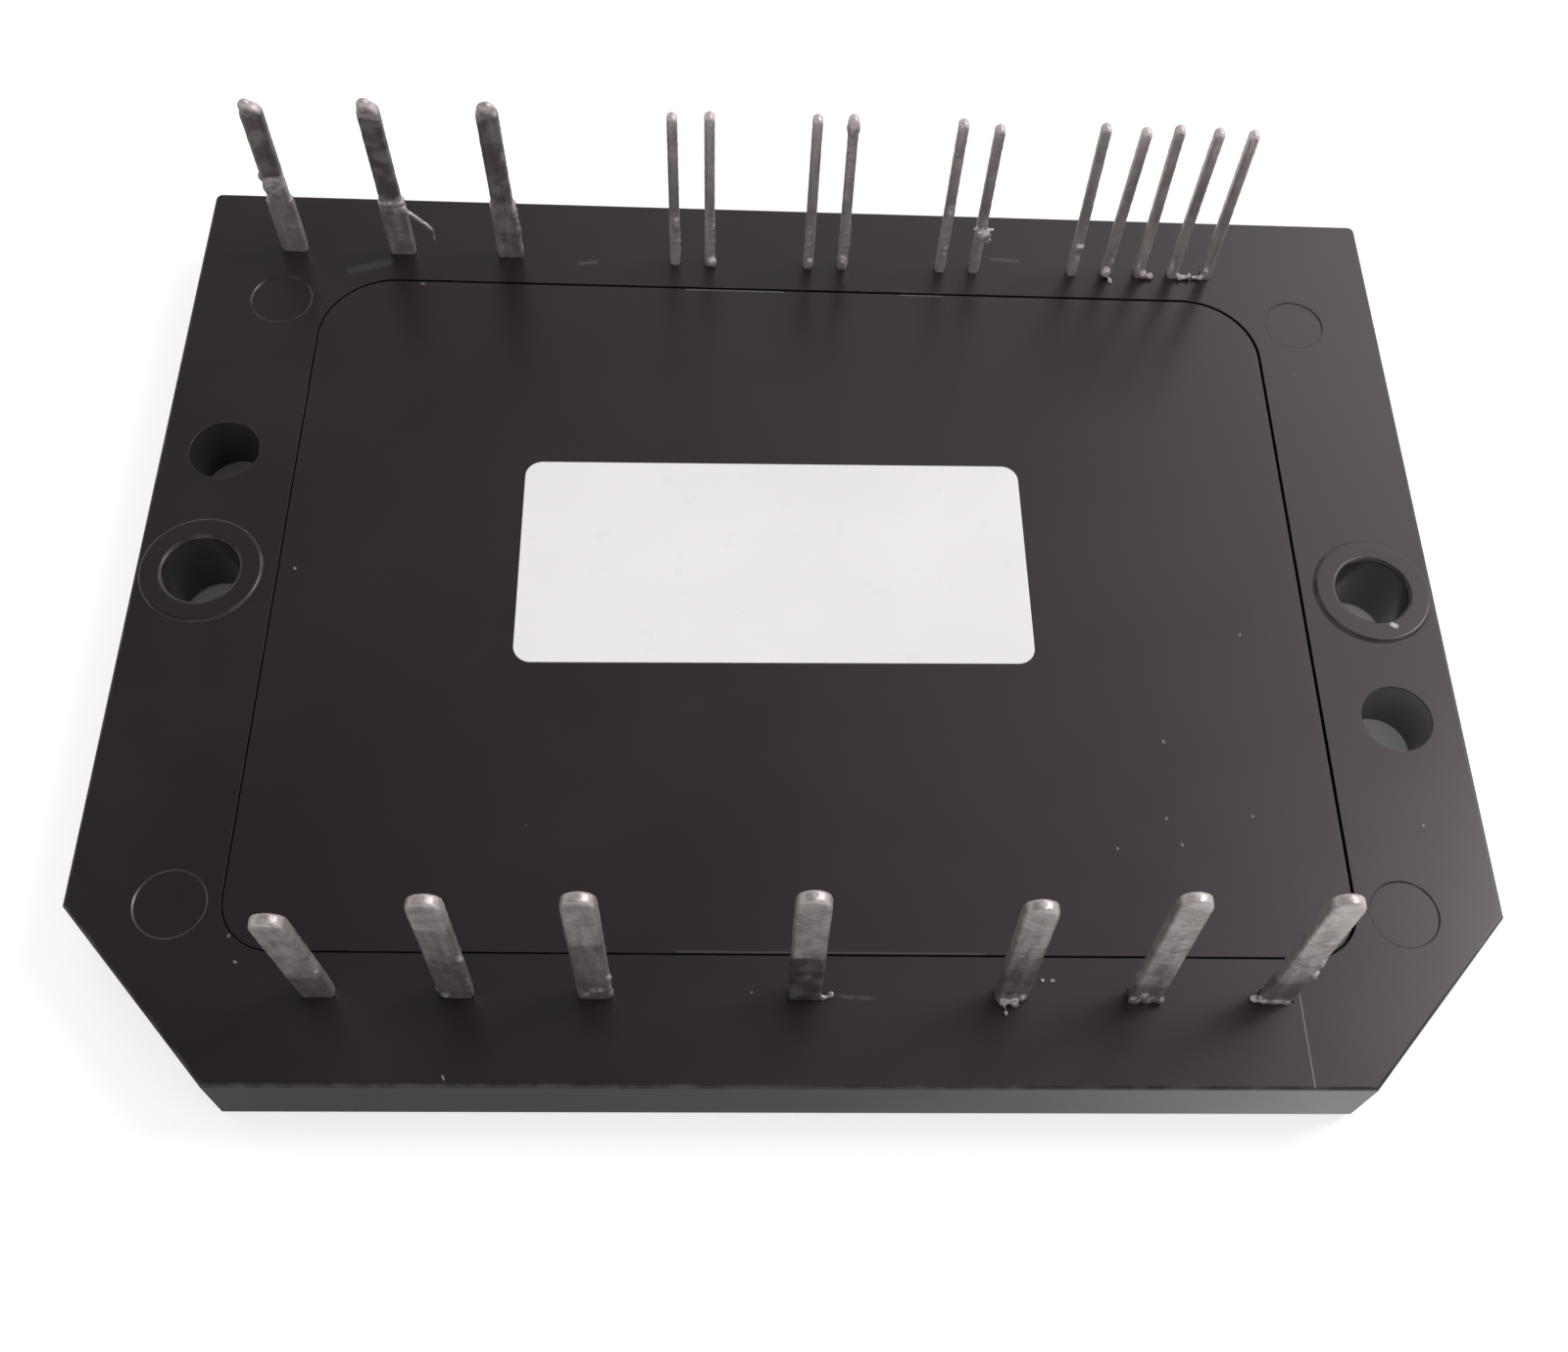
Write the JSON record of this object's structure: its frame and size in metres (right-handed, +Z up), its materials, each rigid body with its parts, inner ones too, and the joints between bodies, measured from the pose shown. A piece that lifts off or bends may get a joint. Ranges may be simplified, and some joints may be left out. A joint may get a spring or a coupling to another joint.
{
  "type": "igbt power module",
  "caption": "Flat moulded power module with chamfered front corners, a flush lid with a bare label, mounting holes at both ends and upright terminals along both long edges.",
  "frame": {"origin": "middle of the underside, on the face that sits on the heatsink", "axes": "+X along the length, +Y towards the rear edge with the thin signal pins, +Z up, the way the terminals point"},
  "size_m": [0.0886, 0.0688, 0.021],
  "materials": {
    "case_plastic": "satin moulded black thermoplastic",
    "lid_plastic": "satin moulded black thermoplastic, very slightly warmer than the case",
    "label_film": "smooth off-white sticker, bare",
    "base_aluminium": "milled, fine brushed",
    "insulation": "filled resin layer",
    "glue": "cured silicone adhesive",
    "copper": "etched bare copper",
    "solder": "reflowed solder",
    "silicon": "metallised silicon",
    "gel": "clear soft silicone gel",
    "wire_aluminium": "drawn aluminium bond wire",
    "front_terminal_metal": "dull tinned copper with solder remains",
    "mains_terminal_metal": "dark tarnished tin with solder remains",
    "signal_pin_metal": "dull tinned copper with solder remains"
  },
  "bodies": {
    "root": {"case_frame": "case_plastic", "lid": "lid_plastic", "label": "label_film", "base_plate": "base_aluminium", "insulation_layer": "insulation", "case_glue": "glue", "copper_tracks": "copper", "chip_solder": "solder", "silicone_gel": "gel", "rectifier_wires": "wire_aluminium", "inverter_wires": "wire_aluminium", "gate_wires": "wire_aluminium", "terminal_wires": "wire_aluminium", "rectifier_plus_terminal": "front_terminal_metal", "dc_minus_terminal": "front_terminal_metal", "dc_plus_terminal": "front_terminal_metal", "output_u_terminal": "front_terminal_metal", "output_v_terminal": "front_terminal_metal", "output_w_terminal": "front_terminal_metal", "brake_terminal": "front_terminal_metal", "mains_r_terminal": "mains_terminal_metal", "mains_s_terminal": "mains_terminal_metal", "mains_t_terminal": "mains_terminal_metal", "signal_pin_1": "signal_pin_metal", "signal_pin_2": "signal_pin_metal", "signal_pin_3": "signal_pin_metal", "signal_pin_4": "signal_pin_metal", "signal_pin_5": "signal_pin_metal", "signal_pin_6": "signal_pin_metal", "signal_pin_7": "signal_pin_metal", "signal_pin_8": "signal_pin_metal", "signal_pin_9": "signal_pin_metal", "signal_pin_10": "signal_pin_metal", "signal_pin_11": "signal_pin_metal", "rectifier_diode_1": "silicon", "rectifier_diode_2": "silicon", "rectifier_diode_3": "silicon", "rectifier_diode_4": "silicon", "rectifier_diode_5": "silicon", "rectifier_diode_6": "silicon", "igbt_chip_1": "silicon", "igbt_chip_2": "silicon", "igbt_chip_3": "silicon", "igbt_chip_4": "silicon", "igbt_chip_5": "silicon", "igbt_chip_6": "silicon", "igbt_chip_7": "silicon", "freewheel_diode_1": "silicon", "freewheel_diode_2": "silicon", "freewheel_diode_3": "silicon", "freewheel_diode_4": "silicon", "freewheel_diode_5": "silicon", "freewheel_diode_6": "silicon", "freewheel_diode_7": "silicon"}
  },
  "joints": []
}
